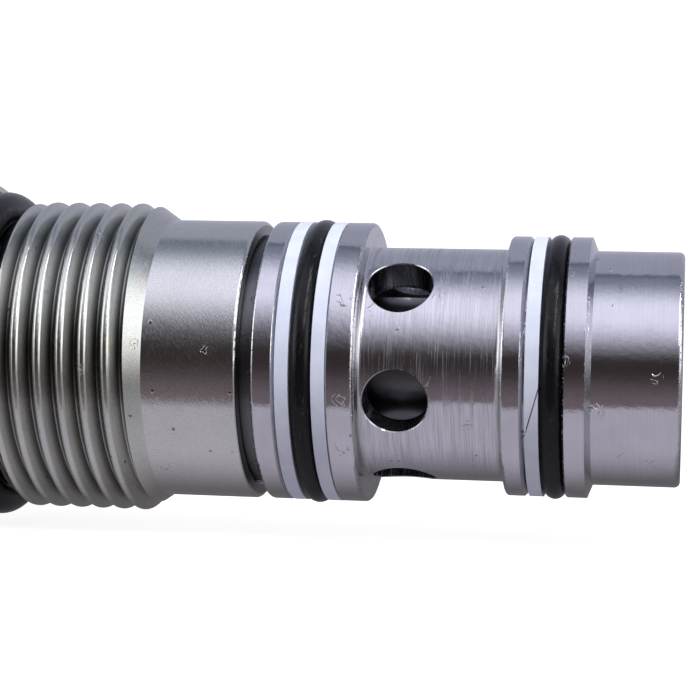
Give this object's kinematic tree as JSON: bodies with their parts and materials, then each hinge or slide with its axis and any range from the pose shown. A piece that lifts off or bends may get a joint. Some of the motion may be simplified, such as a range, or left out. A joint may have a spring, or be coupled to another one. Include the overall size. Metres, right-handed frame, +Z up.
{
  "type": "screw-in cartridge valve",
  "caption": "Screw-in hydraulic cartridge valve: hexagon head, cavity thread, sealed cage with side ports and a nose port, sliding main piston, adjustable pilot stage with locknut.",
  "frame": {"origin": "on the valve's axis, in the plane of the seating face under the hexagon head, where the cavity's face lies", "axes": "+X along the valve's axis from the head to the nose, +Z up"},
  "size_m": [0.0898, 0.033, 0.0286],
  "materials": {
    "zinc_plated_steel": "satin zinc plating with a fine grain and faint yellow-green tint in the thread",
    "turned_steel": "bright turned steel with fine circumferential tool lines and small handling scratches",
    "hardened_steel": "ground and hardened, dark",
    "ball_steel": "polished",
    "spring_steel": "oiled spring wire",
    "stainless_mesh": "etched sheet",
    "nitrile_rubber": "moulded, slight sheen",
    "ptfe": "smooth, waxy white",
    "zinc_plated_fastener": "bright zinc plating",
    "seal_washer_rubber": "moulded, matt"
  },
  "bodies": {
    "valve_body": {"valve_body": "zinc_plated_steel", "head_o_ring": "nitrile_rubber", "cage_retaining_ring": "spring_steel", "pilot_seat": "hardened_steel", "pilot_seat_o_ring": "nitrile_rubber", "pilot_spring": "spring_steel"},
    "cage": {"cage": "turned_steel", "upper_o_ring": "nitrile_rubber", "upper_backup_ring_rear": "ptfe", "upper_backup_ring_front": "ptfe", "lower_o_ring": "nitrile_rubber", "lower_backup_ring": "ptfe", "main_spring": "spring_steel"},
    "main_piston": {"main_piston": "hardened_steel", "orifice_plug": "hardened_steel", "orifice_screen": "stainless_mesh", "screen_clip": "spring_steel"},
    "pilot_poppet": {"pilot_ball": "ball_steel", "ball_guide": "hardened_steel"},
    "spring_guide": {"spring_guide": "hardened_steel", "adjuster_o_ring": "nitrile_rubber", "adjuster_backup_ring": "ptfe"},
    "adjusting_screw": {"adjusting_screw": "zinc_plated_fastener"},
    "seal_washer": {"seal_washer": "seal_washer_rubber"},
    "locknut": {"locknut": "zinc_plated_fastener"}
  },
  "joints": [
    {"name": "cage_swivel", "type": "hinge", "parent": "valve_body", "child": "cage", "pos_m": [0.0195, 0, 0], "axis": [1, 0, 0], "continuous": true},
    {"name": "main_piston_lift", "type": "slide", "parent": "cage", "child": "main_piston", "axis": [-1, 0, 0], "range_m": [0, 0.0032], "stiffness_N_per_m": 2500, "deforming": ["main_spring"]},
    {"name": "pilot_lift", "type": "slide", "parent": "valve_body", "child": "pilot_poppet", "axis": [-1, 0, 0], "range_m": [0, 0.0008], "stiffness_N_per_m": 4000, "deforming": ["pilot_spring"]},
    {"name": "adjuster_travel", "type": "slide", "parent": "valve_body", "child": "spring_guide", "axis": [1, 0, 0], "range_m": [-0.003, 0.0022], "deforming": ["pilot_spring"]},
    {"name": "adjuster_turn", "type": "hinge", "parent": "spring_guide", "child": "adjusting_screw", "pos_m": [-0.0325, 0, 0], "axis": [1, 0, 0], "range_deg": [-1021, 749]},
    {"name": "locknut_travel", "type": "slide", "parent": "valve_body", "child": "seal_washer", "axis": [-1, 0, 0], "range_m": [0, 0.0021]},
    {"name": "locknut_turn", "type": "hinge", "parent": "seal_washer", "child": "locknut", "pos_m": [-0.0258, 0, 0], "axis": [-1, 0, 0], "range_deg": [0, 715]}
  ],
  "couplings": [
    {"joint": "adjuster_turn", "follows": "adjuster_travel", "rad_per_m": 5937.1},
    {"joint": "locknut_turn", "follows": "locknut_travel", "rad_per_m": 5937.1}
  ]
}
